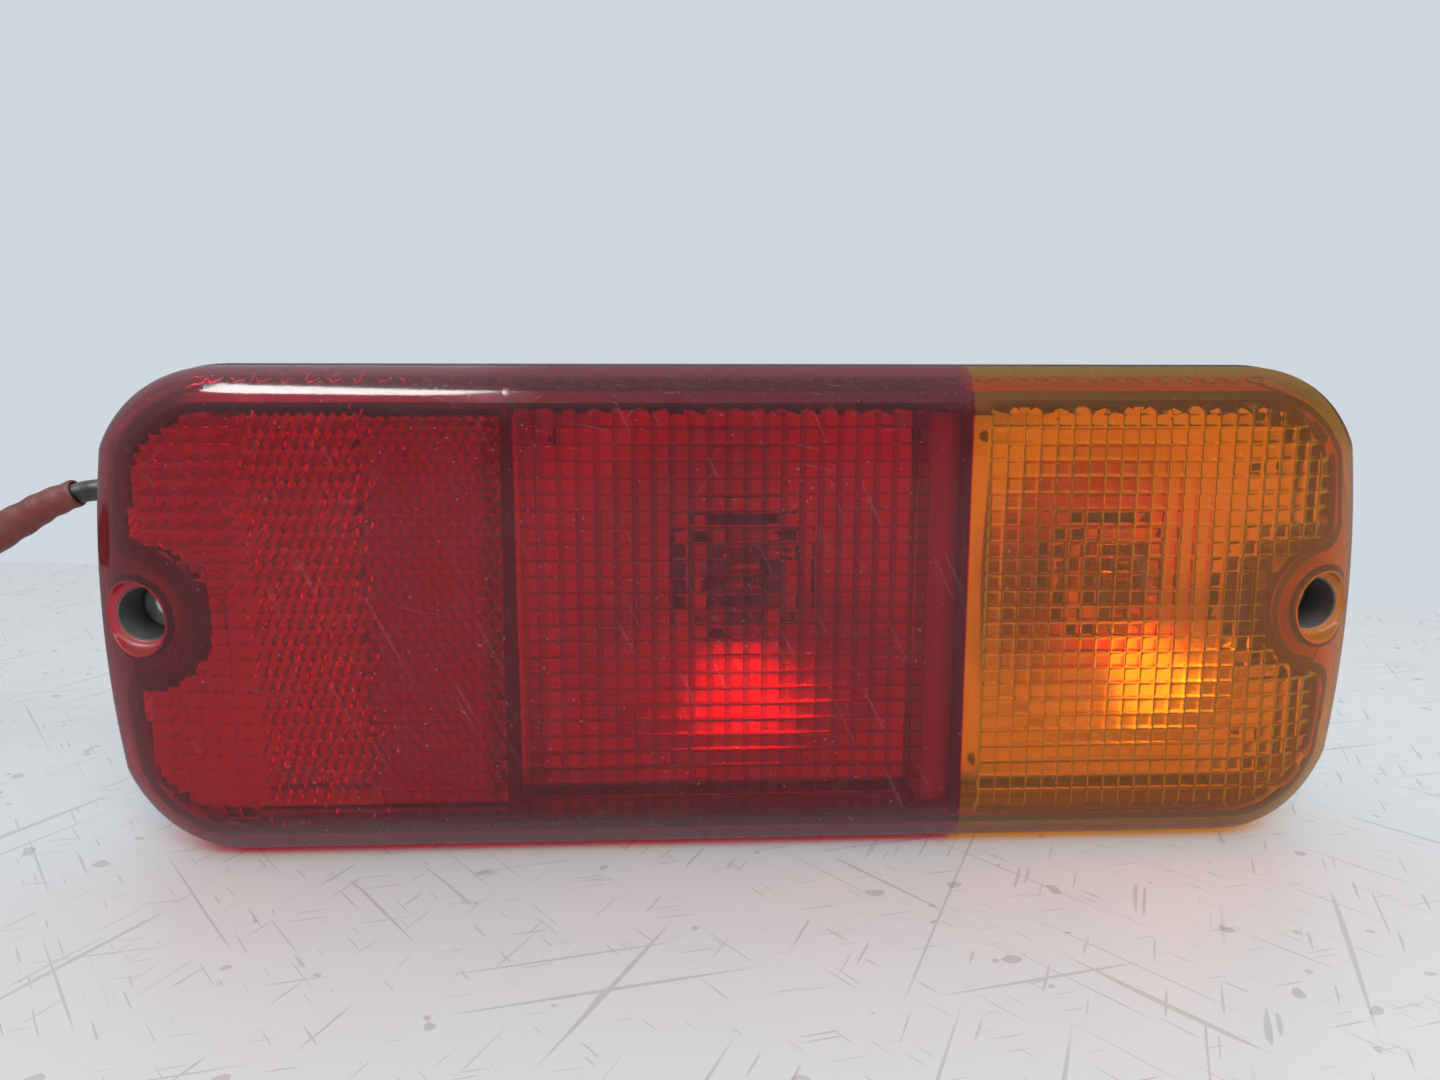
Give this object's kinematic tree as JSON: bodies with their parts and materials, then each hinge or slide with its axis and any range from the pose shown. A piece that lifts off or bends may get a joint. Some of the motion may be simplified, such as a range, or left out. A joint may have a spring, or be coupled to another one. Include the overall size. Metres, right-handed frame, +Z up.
{
  "type": "tail light",
  "caption": "Rectangular rear lamp with rounded ends: red reflex end, red stop and tail section, amber turn section, twist-lock bulb holders and a cable with a plug.",
  "frame": {"origin": "midway between the two mounting holes, on the plane of the rear faces of the screw bosses", "axes": "+X along the lamp towards the amber end, -Y the side the lens faces, +Z up"},
  "size_m": [0.3608, 0.084, 0.1024],
  "materials": {
    "housing_plastic": "moulded, fine grain",
    "red_lens": "clear tinted acrylic, lightly worn",
    "amber_lens": "clear tinted acrylic, lightly worn",
    "seal_cord": "matt",
    "reflex_red": "clear tinted, prisms on the back",
    "backing_plastic": "satin",
    "metallised": "vacuum metallised, satin",
    "foam": "closed cell foam",
    "zinc_steel": "zinc plated",
    "black_rubber": "matt",
    "holder_plastic": "moulded",
    "silicone_seal": "silicone",
    "bayonet_brass": "nickel washed",
    "phenolic": "pressed fibre board",
    "contact_brass": "bright",
    "spring_steel": "drawn wire",
    "clear_glass": "clear",
    "bulb_brass": "nickel plated",
    "black_glass": "black insulating glass",
    "lead_wire": "nickel wire",
    "tungsten": "coiled wire",
    "amber_glass": "amber coated",
    "solder": "solder",
    "wire_black": "wire insulation",
    "wire_brown": "wire insulation",
    "wire_white": "wire insulation",
    "wire_green": "wire insulation",
    "black_pvc": "sheath, slightly shiny",
    "red_sleeve": "aged sleeve with grey dirt",
    "connector_plastic": "moulded",
    "seal_green": "silicone",
    "tin": "tin plated"
  },
  "bodies": {
    "lamp": {"rear_housing": "housing_plastic", "red_lens": "red_lens", "amber_lens": "amber_lens", "lens_seal": "seal_cord", "reflex_prism_panel": "reflex_red", "reflex_backing_plate": "backing_plastic", "mounting_gasket": "foam", "screw_sleeves": "zinc_steel", "vent_elbows": "black_rubber", "ground_wire": "wire_black", "tail_wire": "wire_brown", "cable_sheath": "black_pvc", "red_sleeve": "red_sleeve", "cable_clip": "holder_plastic", "sheath_grommet": "black_rubber", "connector_housing": "connector_plastic", "connector_seal": "seal_green", "connector_terminals": "tin", "stop_reflector": "metallised", "turn_reflector": "metallised", "stop_wire": "wire_white", "turn_wire": "wire_green"},
    "stop_holder": {"stop_holder": "holder_plastic", "stop_holder_seal": "silicone_seal", "stop_holder_boot": "black_rubber", "stop_socket_shell": "bayonet_brass", "stop_contact_spring": "spring_steel"},
    "turn_holder": {"turn_holder": "holder_plastic", "turn_holder_seal": "silicone_seal", "turn_holder_boot": "black_rubber", "turn_socket_shell": "bayonet_brass", "turn_contact_spring": "spring_steel"},
    "stop_bulb": {"stop_bulb_glass": "clear_glass", "stop_bulb_cap": "bulb_brass", "stop_bulb_insulator": "black_glass", "stop_bulb_tips": "solder", "stop_bulb_stem": "clear_glass", "stop_bulb_leads": "lead_wire", "stop_filament": "tungsten", "tail_filament": "tungsten"},
    "turn_bulb": {"turn_bulb_glass": "amber_glass", "turn_bulb_cap": "bulb_brass", "turn_bulb_insulator": "black_glass", "turn_bulb_tip": "solder", "turn_bulb_stem": "clear_glass", "turn_bulb_leads": "lead_wire", "turn_filament": "tungsten"},
    "stop_contacts": {"stop_contact_disc": "phenolic", "stop_contacts": "contact_brass"},
    "turn_contacts": {"turn_contact_disc": "phenolic", "turn_contacts": "contact_brass"},
    "latch": {"connector_latch": "connector_plastic"}
  },
  "joints": [
    {"name": "stop_holder_twist", "type": "hinge", "parent": "lamp", "child": "stop_holder", "pos_m": [0, 0.014, 0.004], "axis": [0, 1, 0], "range_deg": [-45, 0]},
    {"name": "stop_bulb_press", "type": "slide", "parent": "stop_holder", "child": "stop_bulb", "axis": [0, 1, 0], "range_m": [0, 0.0018]},
    {"name": "stop_contact_press", "type": "slide", "parent": "stop_holder", "child": "stop_contacts", "axis": [0, 1, 0], "range_m": [0, 0.0018], "stiffness_N_per_m": 900, "deforming": ["stop_contact_spring"]},
    {"name": "turn_holder_twist", "type": "hinge", "parent": "lamp", "child": "turn_holder", "pos_m": [0.084, 0.014, 0.004], "axis": [0, 1, 0], "range_deg": [-45, 0]},
    {"name": "turn_bulb_press", "type": "slide", "parent": "turn_holder", "child": "turn_bulb", "axis": [0, 1, 0], "range_m": [0, 0.0018]},
    {"name": "turn_contact_press", "type": "slide", "parent": "turn_holder", "child": "turn_contacts", "axis": [0, 1, 0], "range_m": [0, 0.0018], "stiffness_N_per_m": 900, "deforming": ["turn_contact_spring"]},
    {"name": "latch_flex", "type": "hinge", "parent": "lamp", "child": "latch", "pos_m": [-0.2094, 0.012, 0.01245], "axis": [0, 1, 0], "range_deg": [0, 7], "stiffness_Nm_per_rad": 0.3}
  ],
  "couplings": [
    {"joint": "stop_contact_press", "follows": "stop_bulb_press", "ratio": 1},
    {"joint": "turn_contact_press", "follows": "turn_bulb_press", "ratio": 1}
  ]
}
